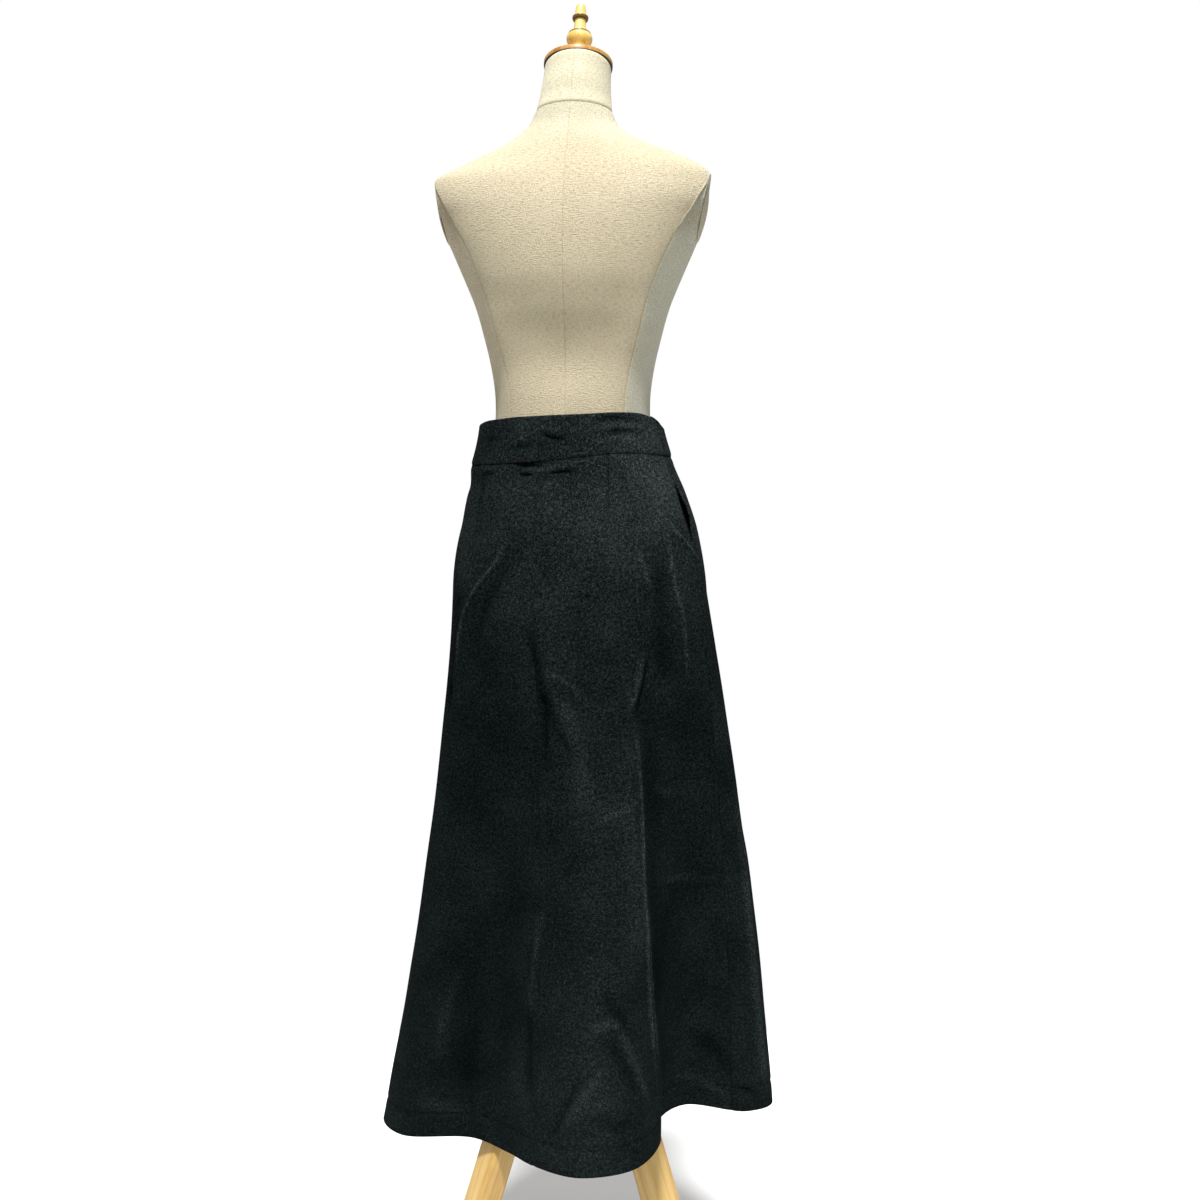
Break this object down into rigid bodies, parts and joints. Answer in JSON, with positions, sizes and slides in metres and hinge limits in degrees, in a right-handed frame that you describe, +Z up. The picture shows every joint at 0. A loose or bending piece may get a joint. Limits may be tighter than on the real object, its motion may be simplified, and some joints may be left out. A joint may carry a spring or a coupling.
{
  "type": "flared skirt on dress form",
  "caption": "Long flared wool skirt with a shaped waistband and side pocket, worn on a limbless linen dress form that stands on a splayed four-legged wooden stand.",
  "frame": {"origin": "centre of the object's box on the floor, under the pole", "axes": "+Z up along the pole; the back of the form faces +Y and the wearer's left is +X"},
  "size_m": [0.5249, 0.406, 1.6989],
  "materials": {
    "wool": "black felted wool flannel with a short nap",
    "zip_tape": "black woven tape",
    "linen": "natural slubby linen over foam",
    "turned_wood": "varnished honey brown turned wood",
    "stand_wood": "satin pale golden wood"
  },
  "bodies": {
    "root": {"skirt_back_left": "wool", "skirt_front": "wool", "skirt_back_right": "wool", "waistband_back_left": "wool", "waistband_front": "wool", "waistband_back_right": "wool", "back_zip": "zip_tape", "pocket_right": "wool", "form_body": "linen", "form_neck": "linen", "armhole_plate_left": "linen", "armhole_plate_right": "linen", "neck_cap": "turned_wood", "finial": "turned_wood", "base_board": "stand_wood", "pole": "stand_wood", "hub": "stand_wood", "leg_left": "stand_wood", "leg_right": "stand_wood", "leg_front_left": "stand_wood", "leg_front_right": "stand_wood"}
  },
  "joints": []
}
